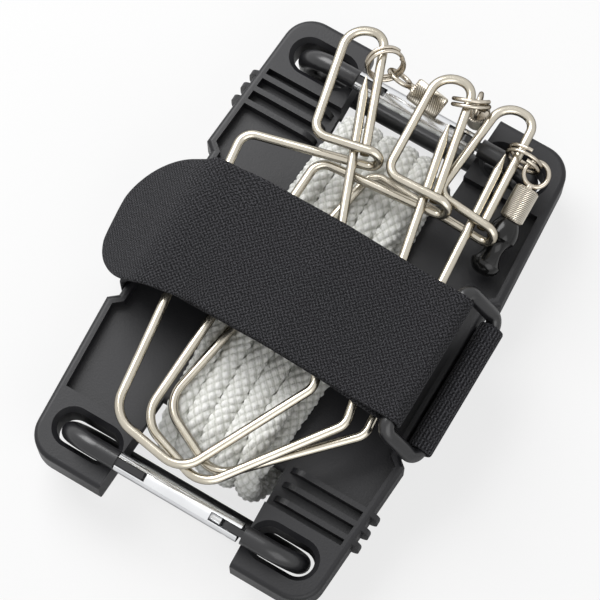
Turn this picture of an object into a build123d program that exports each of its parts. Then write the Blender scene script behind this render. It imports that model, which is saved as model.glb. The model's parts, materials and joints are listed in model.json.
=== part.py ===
"""Fish stringer: a winder plate with wound rope, three wire fish clips, two carabiners and a cinch strap.

Millimetres, +Z up. The origin is on the underside of the strap, below the plate's centre.
X runs across the plate, +Y along it towards the heads of the fish clips.
"""
import math
import os

from build123d import *

os.makedirs("parts", exist_ok=True)

# Winder plate
plate_length = 170.0
plate_thickness = 13.0
plate_corner_radius = 10.0
plate_edge_radius = 1.6
side_flare_angle = 3.46
strap_recess_length = 56.0
strap_recess_depth = 3.0
recess_ramp = 2.5
web_thickness = 4.5
web_end_flat = 0.18
notch_depth = 35.0
notch_mouth_width = 47.4
notch_root_width = 44.4
end_pad_length = 23.0
rim_width = 2.7
corner_slot_width = 10.4
slot_side_wall = 5.2
slot_inner_wall = 1.3
slot_end_inset = 12.7
slot_edge_chamfer = 1.6
fin_count = 3
fin_pitch = 5.2
fin_thickness = 1.8
fin_end_inset = 31.3
fin_root_inset = 2.0
fin_overhang = 2.4
fin_end_radius = 5.0

# Rope
rope_diameter = 6.0
rope_turns_per_layer = 6
rope_side_pitch = 6.75
rope_layer_gap = 0.6
rope_climb_shift = 0.35
rope_web_clearance = 0.3

# Fish clips
clip_wire = 3.0
clip_level = 3.2
clip_stack_gap = 0.25
clip_rope_clearance = 0.3
pin_point_length = 6.0
pin_point_radius = 0.25
clip_tail_y = 60.0
clip_pitch = 1.9
clip_slot_offset = 72.3
left_clip_turn = 9.5
left_clip_shift_x = -18.6
left_clip_shift_y = -1.5
right_clip_turn = -7.5
right_clip_shift_x = 10.7
right_clip_shift_y = 5.2

# Split rings, swivels and stopper
ring_wire = 1.3
ring_mean_diameter = 11.5
ring_pitch = 1.8
ring_turns = 2
ring_seat_offset = 2.2
eye_wire = 1.6
eye_mean_diameter = 8.0
eye_ring_clearance = 0.2
eye_barrel_gap = 0.3
stem_diameter = 2.4
stem_head_diameter = 4.6
stem_head_length = 1.6
swivel_clearance = 0.08
barrel_diameter = 8.0
barrel_length = 11.5
barrel_wall = 1.6
barrel_chamfer = 0.6
stopper_length = 19.5
stopper_flange_diameter = 10.0
stopper_tail_round = 4.0
stopper_neck_diameter = 6.2
stopper_waist_share = 0.55
stopper_flange_share = 0.34
stopper_bulge_share = 0.16
stopper_bulge_width = 0.94

# Carabiners
carabiner_rod = 6.4
carabiner_length = 89.0
carabiner_end_radius = 11.0
carabiner_slot_play = 1.5
gate_height = 12.1
spine_depth = 13.1
gate_diameter = 6.5
gate_length = 44.0
gate_bore = 4.2
gate_pivot_inset = 4.2
gate_slot_length = 10.5
gate_slot_width = 2.8
tongue_clearance = 0.25
tongue_height = 4.6
pivot_pin_diameter = 2.0
pivot_clearance = 0.05
gate_end_gap = 1.3
nose_gap = 0.4
tongue_end_gap = 1.0
pin_recess = 0.1
spring_wire = 0.6
plunger_diameter = 3.6
plunger_length = 5.0
spring_length = 9.0
lower_carabiner_tilt = 14.0
upper_carabiner_tilt = 6.0

# Strap and strap ring
strap_width = 46.0
strap_thickness = 1.5
strap_middle_y = -2.0
strap_ring_rod = 5.0
strap_ring_corner = 3.6
strap_side_clearance = 0.4
strap_bar_clearance = 0.2
strap_clip_clearance = 0.4
ring_side_play = 0.5
hook_patch_thickness = 0.6
patch_gap = 0.1
patch_inset = 2.0
layer_gap = 0.15
fold_bar_rise = 5.0
fold_inset = 1.5
strap_flat_half = 40.0
strap_edge_reach = 2.0
strap_edge_radius = 4.0
strap_bend_radius = 6.0
strap_crown_radius = 30.0
strap_return_radius = 8.0
strap_crown_x = 2.0
left_crest_reach = 24.9
right_crest_x = 24.0
strap_return_x = 30.0
inner_bar_x = 44.5
bar_approach = 6.0
bar_approach_radius = 3.0
wrap_slack = 0.1
tab_hinge_x = -24.0
tab_hinge_gap = 0.2
tab_bend_radius = 14.0
tab_tip_x = -66.0
tab_tip_drop = 26.0
tab_corner_radius = 18.0
tab_skew = 8.0
tab_skew_radius = 60.0

# Plate sizes that follow from its length and from the carabiners
slot_outer_x = carabiner_length / 2 + carabiner_slot_play
slot_inner_x = notch_mouth_width / 2 + slot_inner_wall
plate_end_width = 2 * (slot_outer_x + slot_side_wall)
corner_slot_length = slot_outer_x - slot_inner_x
corner_slot_spacing_x = slot_outer_x + slot_inner_x
corner_slot_spacing_y = plate_length - 2 * slot_end_inset
web_length = plate_length - 2 * notch_depth
tray_length = plate_length - 2 * end_pad_length
fin_middle_y = plate_length / 2 - fin_end_inset

# The clips' heads stand off from the upper carabiner, and the strap's crest from the left clip
clip_stand_y = corner_slot_spacing_y / 2 - clip_slot_offset
left_crest_x = left_clip_shift_x - left_crest_reach

# Heights that follow from the stack: strap, rope, plate, rope, clips
rope_radius = rope_diameter / 2
inner_turn_radius = web_thickness / 2 + rope_web_clearance + rope_radius
outer_turn_radius = inner_turn_radius + rope_diameter + rope_layer_gap
plate_middle_z = strap_thickness + rope_web_clearance + rope_radius + outer_turn_radius
plate_top_z = plate_middle_z + plate_thickness / 2
plate_bottom_z = plate_middle_z - plate_thickness / 2
rope_top_z = plate_middle_z + outer_turn_radius + rope_radius
clip_spacing = clip_wire + clip_stack_gap
right_clip_z = rope_top_z + clip_rope_clearance + clip_wire / 2
middle_clip_z = right_clip_z + clip_spacing
left_clip_z = middle_clip_z + clip_spacing


def save(part, name):
    """Label a finished piece and write it as its own file."""
    part.label = name
    export_step(part, f"parts/{name}.step")


def biarc(start, start_direction, end, end_direction):
    """Two arcs, tangent where they meet, that leave and arrive along the given directions."""
    chord = end - start
    spread = 2 * (1 - start_direction.dot(end_direction))
    along = chord.dot(start_direction + end_direction)
    reach = (math.sqrt(along**2 + spread * chord.dot(chord)) - along) / spread
    first_knee = start + start_direction * reach
    second_knee = end - end_direction * reach
    middle = (first_knee + second_knee) / 2
    TangentArc(start, middle, tangent=start_direction)
    TangentArc(middle, end, tangent=second_knee - first_knee)


def least_gap(line, tube_diameter, step):
    """The smallest space between two stretches of a tube that lie apart along its length."""
    points = []
    travelled = 0.0
    for edge in line.edges():
        count = max(1, round(edge.length / step))
        for index in range(count):
            points.append((travelled + edge.length * index / count, tuple(edge @ (index / count))))
        travelled += edge.length
    skip = 1.6 * tube_diameter
    gaps = [
        math.dist(a, b)
        for index, (place, a) in enumerate(points)
        for other, b in points[index + 1:]
        if other - place > skip
    ]
    return min(gaps) - tube_diameter


def half_width_at(y):
    """Half the plate's width at a distance y from its middle, along the flared sides."""
    return plate_end_width / 2 + math.tan(math.radians(side_flare_angle)) * (plate_length / 2 - abs(y))


# Winder plate
recess_half = strap_recess_length / 2
shoulder_y = recess_half + recess_ramp
recess_half_width = half_width_at(shoulder_y) - strap_recess_depth
quarter_outline = [
    (recess_half_width, recess_half),
    (half_width_at(shoulder_y), shoulder_y),
    (plate_end_width / 2, plate_length / 2),
]
right_side = [(x, -y) for x, y in reversed(quarter_outline)] + quarter_outline
plate_outline = right_side + [(-x, -y) for x, y in right_side]
recess_depth = (plate_thickness - web_thickness) / 2
with BuildPart() as winder_plate:
    with BuildSketch(Plane.XY.offset(plate_bottom_z)) as outline:
        with BuildLine():
            Polyline(*plate_outline, close=True)
        make_face()
        fillet(outline.vertices().group_by(lambda v: round(abs(v.Y), 3))[-1], plate_corner_radius)
    extrude(amount=plate_thickness)
    rims = winder_plate.faces().sort_by(Axis.Z)
    fillet(rims[0].edges() + rims[-1].edges(), plate_edge_radius)
    for face_z, inward in ((plate_top_z, -1), (plate_bottom_z, 1)):
        with BuildSketch(Plane.XY.offset(face_z)) as tray:
            with BuildLine():
                Polyline(*plate_outline, close=True)
            make_face()
            offset(amount=-rim_width, kind=Kind.INTERSECTION)
            Rectangle(plate_end_width * 2, tray_length, mode=Mode.INTERSECT)
        extrude(amount=inward * recess_depth, mode=Mode.SUBTRACT)
    for end in (1, -1):
        with BuildSketch(Plane.XY.offset(plate_bottom_z)):
            with BuildLine():
                Polyline(
                    (-notch_root_width / 2, end * web_length / 2),
                    (notch_root_width / 2, end * web_length / 2),
                    (notch_mouth_width / 2, end * plate_length / 2),
                    (notch_mouth_width / 2, end * plate_length),
                    (-notch_mouth_width / 2, end * plate_length),
                    (-notch_mouth_width / 2, end * plate_length / 2),
                    close=True,
                )
            make_face()
        extrude(amount=plate_thickness, mode=Mode.SUBTRACT)
    web_ends = winder_plate.edges().filter_by(Axis.X).filter_by(
        lambda e: abs(abs(e.center().Y) - web_length / 2) < 0.01
    )
    fillet(web_ends, (web_thickness - web_end_flat) / 2)
    with BuildSketch(Plane.XY.offset(plate_bottom_z)):
        with GridLocations(corner_slot_spacing_x, corner_slot_spacing_y, 2, 2):
            SlotOverall(corner_slot_length, corner_slot_width)
    extrude(amount=plate_thickness, mode=Mode.SUBTRACT)
    slot_mouth_length = corner_slot_length + 2 * slot_edge_chamfer
    slot_mouth_width = corner_slot_width + 2 * slot_edge_chamfer
    for face_z, inward in ((plate_top_z, -1), (plate_bottom_z, 1)):
        with BuildSketch(Plane.XY.offset(face_z)):
            with GridLocations(corner_slot_spacing_x, corner_slot_spacing_y, 2, 2):
                SlotOverall(slot_mouth_length, slot_mouth_width)
        extrude(amount=inward * slot_edge_chamfer, taper=45, mode=Mode.SUBTRACT)
    for corner in (1, -1):
        for index in range(fin_count):
            fin_y = fin_middle_y + (index - (fin_count - 1) / 2) * fin_pitch
            inner_x = notch_root_width / 2 + fin_root_inset
            outer_x = half_width_at(fin_y) + fin_overhang
            fin_plane = Plane(
                origin=(-corner * (inner_x + outer_x) / 2, corner * fin_y, plate_middle_z),
                x_dir=(1, 0, 0),
                z_dir=(0, 1, 0),
            )
            with BuildSketch(fin_plane):
                RectangleRounded(outer_x - inner_x, plate_thickness, fin_end_radius)
            extrude(amount=fin_thickness / 2, both=True)
save(winder_plate.part, "winder_plate")

# Rope, wound lengthways round the web in two layers that run opposite ways
turn_y = web_length / 2 - web_thickness / 2
rope_span = (rope_turns_per_layer - 0.5) * rope_side_pitch
forward = Vector(0, 1, 0)
rope_runs = []
for turn in range(rope_turns_per_layer):
    run_x = -rope_span / 2 + turn * rope_side_pitch
    if turn > 0:
        rope_runs.append((run_x - rope_side_pitch / 2, -inner_turn_radius))
    rope_runs.append((run_x, inner_turn_radius))
last_inner_x = rope_runs.pop()[0] + rope_climb_shift
rope_runs.append((last_inner_x, inner_turn_radius))
rope_runs.append((rope_span / 2, -outer_turn_radius))
for turn in range(1, rope_turns_per_layer):
    run_x = rope_span / 2 - turn * rope_side_pitch
    rope_runs.append((run_x, outer_turn_radius))
    rope_runs.append((run_x - rope_side_pitch / 2, -outer_turn_radius))
with BuildPart() as rope_winding:
    with BuildLine() as rope_route:
        heading = 1
        for index, (run_x, height) in enumerate(rope_runs):
            run_z = plate_middle_z + height
            first_run = index == 0
            last_run = index == len(rope_runs) - 1
            run_start = Vector(run_x, 0 if first_run else -heading * turn_y, run_z)
            run_end = Vector(run_x, 0 if last_run else heading * turn_y, run_z)
            Line(run_start, run_end)
            if not last_run:
                next_x, next_height = rope_runs[index + 1]
                next_start = Vector(next_x, heading * turn_y, plate_middle_z + next_height)
                biarc(run_end, forward * heading, next_start, forward * -heading)
            heading = -heading
    with BuildSketch(Plane(origin=rope_route.line @ 0, z_dir=rope_route.line % 0)):
        Circle(rope_radius)
    sweep()
rope_length = sum(edge.length for edge in rope_route.edges())
rope_gap = least_gap(rope_route, rope_diameter, 1.5)
print(f"rope length {rope_length:.0f} mm, least gap to itself {rope_gap:.2f} mm")
save(rope_winding.part, "rope_winding")


# Fish clips: one wire each, bent like a safety pin, with a head loop and a pointed pin
clip_pin_foot = (33.5, -31.5, 0.0)
clip_pin_tip = (14.2, 61.3, 1.25 * clip_level)
clip_bends = [
    (clip_pin_foot, 6.0),
    ((5.0, -70.5, 0.0), 9.0),
    ((-21.2, -61.5, 0.0), 10.0),
    ((-17.0, 37.5, 0.0), 5.0),
    ((26.5, 41.2, 0.0), 3.4),
    ((26.5, 44.0, 2 * clip_level), 3.4),
    ((4.2, 43.0, 2 * clip_level), 4.5),
    ((2.2, 80.5, 1.6 * clip_level), 7.4),
    ((13.9, 82.0, 1.4 * clip_level), 4.6),
]
clip_wire_end = (21.6, 42.8, 1.0 * clip_level)


def clip_place(turn, pitch, shift_x, shift_y, height):
    """The plane that a fish clip's wire lies in: turned on the rope, its head end raised by the pitch."""
    turn = math.radians(turn)
    pitch = math.radians(pitch)
    across = Vector(math.cos(turn), math.sin(turn), 0)
    along = Vector(-math.sin(turn) * math.cos(pitch), math.cos(turn) * math.cos(pitch), math.sin(pitch))
    raised = height + clip_tail_y * math.tan(pitch)
    return Plane(origin=(shift_x, shift_y, raised), x_dir=across, z_dir=across.cross(along))


left_clip_y = clip_stand_y + left_clip_shift_y
right_clip_y = clip_stand_y + right_clip_shift_y
clip_planes = {
    "left": clip_place(left_clip_turn, clip_pitch, left_clip_shift_x, left_clip_y, left_clip_z),
    "middle": clip_place(0.0, clip_pitch, 0.0, clip_stand_y, middle_clip_z),
    "right": clip_place(right_clip_turn, 0.0, right_clip_shift_x, right_clip_y, right_clip_z),
}
point_align = (Align.CENTER, Align.CENTER, Align.MIN)
for side, plane in clip_planes.items():
    with BuildPart() as fish_clip:
        corners = [plane.from_local_coords(Vector(*point)) for point, _ in clip_bends]
        tip = plane.from_local_coords(Vector(*clip_pin_tip))
        wire_end = plane.from_local_coords(Vector(*clip_wire_end))
        with BuildLine() as clip_route:
            FilletPolyline(tip, *corners, wire_end, radius=[radius for _, radius in clip_bends])
        with BuildSketch(Plane(origin=clip_route.line @ 0, z_dir=clip_route.line % 0)):
            Circle(clip_wire / 2)
        sweep()
        pin_direction = (tip - corners[0]).normalized()
        with Locations(Plane(origin=tip, z_dir=pin_direction)):
            Cone(clip_wire / 2, pin_point_radius, pin_point_length, align=point_align)
    save(fish_clip.part, f"fish_clip_{side}")

# Split ring, swivel eye and knurled swivel barrel on each clip's head
# place on the head wire, the way the ring hangs, the ring's own axis, the swivel's axis
chains = {
    "left": (0.21, Vector(0.62, 0.05, -0.78), Vector(0.60, -0.68, 0.43), Vector(0.98, -0.10, -0.17)),
    "middle": (0.15, Vector(0.20, 0.50, -0.84), Vector(0.315, -0.85, -0.43), Vector(0.0, 0.12, -0.99)),
    "right": (0.32, Vector(0.97, 0.0, -0.24), Vector(0.0, -1.0, 0.0), Vector(0.0, -0.965, -0.262)),
}
head_wire_start = Vector(*clip_bends[-1][0])
head_wire_end = Vector(*clip_wire_end)
ring_radius = ring_mean_diameter / 2
eye_radius = eye_mean_diameter / 2
eye_reach = eye_radius - eye_wire / 2 - ring_wire / 2 - eye_ring_clearance
barrel_start = eye_radius + eye_wire / 2 + eye_barrel_gap
for side, (share, hang, ring_axis, swivel_axis) in chains.items():
    hang = hang.normalized()
    swivel_axis = swivel_axis.normalized()
    ring_axis = (ring_axis - hang * ring_axis.dot(hang)).normalized()
    seat = clip_planes[side].from_local_coords(head_wire_start + (head_wire_end - head_wire_start) * share)
    ring_centre = seat + hang * ring_seat_offset
    link = ring_centre + hang * ring_radius
    share_along = ring_axis.dot(swivel_axis)
    trailing_wire = ring_pitch / 4
    sideways = trailing_wire * math.sqrt(1 - share_along**2)
    eye_offset = math.sqrt(eye_reach**2 - sideways**2) - trailing_wire * share_along
    eye_centre = link + swivel_axis * eye_offset
    beside = ring_axis.cross(hang)
    with BuildPart() as split_ring:
        with BuildLine() as ring_route:
            quarter_turns = 4 * ring_turns
            climb = ring_pitch / (2 * math.pi * ring_radius)
            stations = []
            for quarter in range(quarter_turns + 1):
                angle = math.pi / 2 * (quarter + 1)
                outward = hang * math.cos(angle) + beside * math.sin(angle)
                heading = beside * math.cos(angle) - hang * math.sin(angle)
                height = ring_pitch * (quarter / 4 - ring_turns / 2)
                station = ring_centre + outward * ring_radius + ring_axis * height
                stations.append((station, (heading + ring_axis * climb).normalized()))
            for (start, leaving), (end, arriving) in zip(stations, stations[1:]):
                biarc(start, leaving, end, arriving)
        with BuildSketch(Plane(origin=ring_route.line @ 0, z_dir=ring_route.line % 0)):
            Circle(ring_wire / 2)
        sweep()
    print(f"split ring {side}, least gap to itself {least_gap(ring_route, ring_wire, 0.3):.2f} mm")
    save(split_ring.part, f"split_ring_{side}")

    eye_normal = beside - swivel_axis * beside.dot(swivel_axis)
    eye_plane = Plane(origin=eye_centre, x_dir=swivel_axis, z_dir=eye_normal)
    stem_plane = Plane(origin=eye_centre, z_dir=swivel_axis)
    with BuildPart() as swivel_eye:
        with Locations(eye_plane):
            Torus(eye_radius, eye_wire / 2)
        with BuildSketch(stem_plane.offset(eye_radius)):
            Circle(stem_diameter / 2)
        extrude(amount=barrel_start - eye_radius + barrel_wall + swivel_clearance)
        with BuildSketch(stem_plane.offset(barrel_start + barrel_wall + swivel_clearance)):
            Circle(stem_head_diameter / 2)
        extrude(amount=stem_head_length)
    save(swivel_eye.part, f"swivel_eye_{side}")

    with BuildPart() as swivel_barrel:
        with BuildSketch(stem_plane.offset(barrel_start)):
            Circle(barrel_diameter / 2)
        extrude(amount=barrel_length)
        chamfer(swivel_barrel.edges().filter_by(GeomType.CIRCLE), barrel_chamfer)
        with BuildSketch(stem_plane.offset(barrel_start)):
            Circle(stem_diameter / 2 + swivel_clearance)
        extrude(amount=barrel_wall, mode=Mode.SUBTRACT)
        with BuildSketch(stem_plane.offset(barrel_start + barrel_wall)):
            Circle(stem_head_diameter / 2 + swivel_clearance)
        extrude(amount=stem_head_length + 2 * swivel_clearance, mode=Mode.SUBTRACT)
    save(swivel_barrel.part, f"swivel_barrel_{side}")

    axis_text = ", ".join(f"{value:.5f}" for value in tuple(swivel_axis))
    place_text = ", ".join(f"{value:.3f}" for value in tuple(eye_centre))
    print(f"swivel {side} axis ({axis_text}) through ({place_text})")

# Rubber stopper behind the right-hand swivel: two flanges, a waist and a rounded tail
stopper_plane = stem_plane.offset(barrel_start + barrel_length)
flange_radius = stopper_flange_diameter / 2
neck_radius = stopper_neck_diameter / 2
profile_plane = Plane(origin=stopper_plane.origin, x_dir=stopper_plane.x_dir, z_dir=-stopper_plane.y_dir)
with BuildPart() as rubber_stopper:
    with BuildSketch(profile_plane):
        with BuildLine():
            Polyline(
                (neck_radius, 0),
                (0, 0),
                (0, stopper_length),
                (flange_radius - stopper_tail_round, stopper_length),
            )
            RadiusArc(
                (flange_radius - stopper_tail_round, stopper_length),
                (flange_radius, stopper_length - stopper_tail_round),
                stopper_tail_round,
            )
            ThreePointArc(
                (flange_radius, stopper_length - stopper_tail_round),
                (neck_radius, stopper_length * stopper_waist_share),
                (flange_radius, stopper_length * stopper_flange_share),
            )
            ThreePointArc(
                (flange_radius, stopper_length * stopper_flange_share),
                (flange_radius * stopper_bulge_width, stopper_length * stopper_bulge_share),
                (neck_radius, 0),
            )
        make_face()
    revolve(axis=Axis(stopper_plane.origin, stopper_plane.z_dir))
save(rubber_stopper.part, "rubber_stopper")

# Carabiners: a bent rod through two corner slots, with a sprung tubular gate on top
rod_radius = carabiner_rod / 2
half_rod_length = (carabiner_length - carabiner_rod) / 2
hinge_face = gate_length / 2 + gate_end_gap
nose_face = gate_length / 2 + nose_gap
pivot_u = gate_length / 2 - gate_pivot_inset
tongue_thickness = gate_slot_width - 2 * tongue_clearance
tongue_round = tongue_height / 2
nose_tongue_tip = gate_length / 2 - gate_slot_length + tongue_end_gap
plunger_face = pivot_u - tongue_round - tongue_clearance
spring_start = plunger_face - plunger_length
bore_end = spring_start - spring_length
for place, end, tilt in (("lower", -1, lower_carabiner_tilt), ("upper", 1, upper_carabiner_tilt)):
    lean = math.radians(tilt)
    plane = Plane(
        origin=(0, end * corner_slot_spacing_y / 2, plate_middle_z),
        x_dir=(1, 0, 0),
        z_dir=(0, -math.cos(lean), -math.sin(lean)),
    )
    pivot = plane.from_local_coords(Vector(pivot_u, gate_height, 0))
    with BuildPart() as carabiner_body:
        with BuildLine(plane) as rod_route:
            FilletPolyline(
                (hinge_face, gate_height),
                (half_rod_length, gate_height),
                (half_rod_length, -spine_depth),
                (-half_rod_length, -spine_depth),
                (-half_rod_length, gate_height),
                (-nose_face, gate_height),
                radius=carabiner_end_radius,
            )
        with BuildSketch(Plane(origin=rod_route.line @ 0, z_dir=rod_route.line % 0)):
            Circle(rod_radius)
        sweep()
        with BuildSketch(plane):
            with Locations(((hinge_face + rod_radius + pivot_u) / 2, gate_height)):
                Rectangle(hinge_face + rod_radius - pivot_u, tongue_height)
            with Locations((pivot_u, gate_height)):
                Circle(tongue_round)
            with Locations((-(nose_face + rod_radius + nose_tongue_tip) / 2, gate_height)):
                Rectangle(nose_face + rod_radius - nose_tongue_tip, tongue_height)
        extrude(amount=tongue_thickness / 2, both=True)
        with BuildSketch(plane):
            with Locations((pivot_u, gate_height)):
                Circle(pivot_pin_diameter / 2 + pivot_clearance)
        extrude(amount=rod_radius, both=True, mode=Mode.SUBTRACT)
    save(carabiner_body.part, f"carabiner_{place}")

    gate_end = plane.from_local_coords(Vector(-gate_length / 2, gate_height, 0))
    gate_plane = Plane(origin=gate_end, x_dir=plane.z_dir, z_dir=(1, 0, 0))
    with BuildPart() as gate:
        with BuildSketch(gate_plane):
            Circle(gate_diameter / 2)
        extrude(amount=gate_length)
        with BuildSketch(gate_plane.offset(gate_length)):
            Circle(gate_bore / 2)
        extrude(amount=-(gate_length / 2 - bore_end), mode=Mode.SUBTRACT)
        with BuildSketch(plane):
            for slot_u in (-1, 1):
                with Locations((slot_u * (gate_length - gate_slot_length) / 2, gate_height)):
                    Rectangle(gate_slot_length, gate_diameter)
        extrude(amount=gate_slot_width / 2, both=True, mode=Mode.SUBTRACT)
        with BuildSketch(plane):
            with Locations((pivot_u, gate_height)):
                Circle(pivot_pin_diameter / 2)
        extrude(amount=gate_diameter, both=True, mode=Mode.SUBTRACT)
    save(gate.part, f"gate_{place}")

    with BuildPart() as pivot_pin:
        with BuildSketch(plane):
            with Locations((pivot_u, gate_height)):
                Circle(pivot_pin_diameter / 2)
        extrude(amount=gate_diameter / 2 - pin_recess, both=True)
    save(pivot_pin.part, f"gate_pin_{place}")

    with BuildPart() as plunger:
        with BuildSketch(gate_plane.offset(gate_length / 2 + spring_start)):
            Circle(plunger_diameter / 2)
        extrude(amount=plunger_length)
    save(plunger.part, f"gate_plunger_{place}")

    with BuildPart() as gate_spring:
        with BuildSketch(gate_plane.offset(gate_length / 2 + bore_end)):
            Circle(plunger_diameter / 2)
            Circle(plunger_diameter / 2 - spring_wire, mode=Mode.SUBTRACT)
        extrude(amount=spring_length)
    save(gate_spring.part, f"gate_spring_{place}")
    pivot_text = ", ".join(f"{value:.3f}" for value in tuple(pivot))
    axis_text = ", ".join(f"{value:.5f}" for value in tuple(plane.z_dir))
    print(f"gate {place} pivot ({pivot_text}) axis ({axis_text})")

# Strap: sewn round the ring's outer bar, under the plate, over the clips and back through the ring
half_strap = strap_thickness / 2
side_x = recess_half_width + strap_side_clearance + half_strap
outer_layer_x = side_x + strap_thickness
wrap_radius = strap_ring_rod / 2 + strap_bar_clearance + half_strap
fold_bar = (side_x + wrap_radius, plate_top_z + fold_bar_rise)
strap_top_y = strap_middle_y + strap_width / 2 - clip_stand_y
pin_share = (strap_top_y - clip_pin_foot[1]) / (clip_pin_tip[1] - clip_pin_foot[1])
pin_rise = clip_pin_tip[2] * pin_share
pitch_rise = (clip_tail_y + strap_top_y) * math.tan(math.radians(clip_pitch))
over_wire = clip_wire / 2 + strap_clip_clearance + half_strap
left_crest_z = left_clip_z + pitch_rise + over_wire
crown_z = left_crest_z + pin_rise
right_crest_z = crown_z - clip_spacing
under_layer_z = right_clip_z + pin_rise + over_wire
inner_bar = (inner_bar_x, under_layer_z + wrap_radius)
wrap_x = inner_bar[0] + wrap_radius
layer_step = strap_thickness + 2 * layer_gap
tab_step = layer_step + hook_patch_thickness
hinge_share = (strap_crown_x - tab_hinge_x) / (strap_crown_x - left_crest_x)
tab_hinge_z = crown_z - pin_rise * hinge_share + tab_step
fold_bottom_z = plate_bottom_z + fold_inset
band_start = (outer_layer_x, fold_bottom_z)
band_bends = [
    ((outer_layer_x, plate_bottom_z - strap_edge_reach), strap_edge_radius),
    ((strap_flat_half, half_strap), strap_bend_radius),
    ((-strap_flat_half, half_strap), strap_bend_radius),
    ((-side_x, plate_bottom_z - strap_edge_reach), strap_edge_radius),
    ((-side_x, plate_top_z + strap_edge_reach), strap_bend_radius),
    ((left_crest_x, left_crest_z), strap_bend_radius),
    ((strap_crown_x, crown_z), strap_crown_radius),
    ((right_crest_x, right_crest_z), strap_crown_radius),
    ((inner_bar[0] - bar_approach, under_layer_z), bar_approach_radius),
    ((wrap_x, under_layer_z), wrap_radius - wrap_slack),
    ((wrap_x, under_layer_z + 2 * wrap_radius), wrap_radius - wrap_slack),
    ((strap_return_x, right_crest_z + strap_thickness), strap_return_radius),
    ((strap_crown_x, crown_z + layer_step), strap_crown_radius),
]
band_end = (tab_hinge_x, tab_hinge_z)
strap_plane = Plane.XZ.offset(-strap_middle_y)
band_corners = [point for point, _ in band_bends]
band_radii = [radius for _, radius in band_bends]
with BuildPart() as strap_band:
    with BuildSketch(strap_plane):
        with BuildLine():
            FilletPolyline(band_start, *band_corners, band_end, radius=band_radii)
        trace(line_width=strap_thickness)
    extrude(amount=strap_width / 2, both=True)
save(strap_band.part, "strap_band")

fold_height = plate_thickness - 2 * fold_inset
with BuildPart() as strap_fold:
    with BuildSketch(strap_plane):
        with BuildSketch(mode=Mode.PRIVATE) as teardrop:
            with Locations(fold_bar):
                Circle(wrap_radius + half_strap)
            with Locations(((side_x + outer_layer_x) / 2, fold_bottom_z)):
                Rectangle(2 * strap_thickness, fold_height, align=(Align.CENTER, Align.MIN))
        make_hull(teardrop.sketch.edges())
        with Locations(fold_bar):
            Circle(strap_ring_rod / 2 + strap_bar_clearance, mode=Mode.SUBTRACT)
    extrude(amount=strap_width / 2, both=True)
save(strap_fold.part, "strap_fold")

tab_start = (tab_hinge_x - tab_hinge_gap, tab_hinge_z)
tab_bend = (left_crest_x, left_crest_z + tab_step)
tab_tip = (tab_tip_x, tab_bend[1] - tab_tip_drop)
with BuildPart() as strap_tab:
    with BuildSketch(strap_plane):
        with BuildLine():
            FilletPolyline(tab_start, tab_bend, tab_tip, radius=tab_bend_radius)
        trace(line_width=strap_thickness)
    extrude(amount=strap_width, both=True)
    with BuildSketch(Plane.XY) as tab_outline:
        with BuildLine():
            veer = JernArc((tab_start[0], strap_middle_y), (-1, 0), tab_skew_radius, tab_skew)
            PolarLine(veer @ 1, (veer @ 1).X - tab_tip_x, direction=veer % 1)
        trace(line_width=strap_width)
        fillet(tab_outline.vertices().sort_by(Axis.X)[:2], tab_corner_radius)
    extrude(amount=2 * crown_z, mode=Mode.INTERSECT)
save(strap_tab.part, "strap_tab")

patch_drop = half_strap + hook_patch_thickness / 2 + patch_gap
tab_slope = math.atan2(tab_start[1] - tab_bend[1], tab_start[0] - tab_bend[0])
tip_slope = math.atan2(tab_bend[1] - tab_tip[1], tab_bend[0] - tab_tip[0])
bend_reach = tab_bend_radius * math.tan((tip_slope - tab_slope) / 2)
patch_end_x = tab_bend[0] + bend_reach + patch_inset
patch_end_z = tab_bend[1] + (patch_end_x - tab_bend[0]) * math.tan(tab_slope)
with BuildPart() as hook_patch:
    with BuildSketch(strap_plane):
        with BuildLine():
            Polyline(
                (tab_start[0] - patch_inset, tab_start[1] - patch_inset * math.tan(tab_slope) - patch_drop),
                (patch_end_x, patch_end_z - patch_drop),
            )
        trace(line_width=hook_patch_thickness)
    extrude(amount=strap_width / 2 - patch_inset, both=True)
save(hook_patch.part, "hook_patch")

# Strap ring: a rounded rectangle of rod, leaning from the sewn fold up to the strap's turn
ring_middle = ((inner_bar[0] + fold_bar[0]) / 2, (inner_bar[1] + fold_bar[1]) / 2)
ring_lean = Vector(fold_bar[0] - inner_bar[0], 0, fold_bar[1] - inner_bar[1])
ring_origin = (ring_middle[0], strap_middle_y, ring_middle[1])
ring_plane = Plane(origin=ring_origin, x_dir=ring_lean, z_dir=ring_lean.cross(Vector(0, 1, 0)))
ring_width = strap_width + 2 * ring_side_play + strap_ring_rod
with BuildPart() as strap_ring:
    with BuildSketch(ring_plane, mode=Mode.PRIVATE) as ring_outline:
        RectangleRounded(ring_lean.length, ring_width, strap_ring_corner)
    ring_wire_path = ring_outline.sketch.face().outer_wire()
    with BuildSketch(Plane(origin=ring_wire_path @ 0, z_dir=ring_wire_path % 0)):
        Circle(strap_ring_rod / 2)
    sweep(path=ring_wire_path)
save(strap_ring.part, "strap_ring")
print(f"plate middle z {plate_middle_z:.3f}, tab hinge x {tab_hinge_x:.3f} z {tab_hinge_z + half_strap:.3f}")
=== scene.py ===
# %% [markdown]
# A fish stringer, packed for the tackle box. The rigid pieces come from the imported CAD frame.
# This lesson dresses them: a braided rope, a woven strap, knurled barrels and procedural finishes.
# Everything is in metres, in the frame of the CAD model, so no piece needs fitting by eye.

# %% Load the frame
import json
import math

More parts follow.
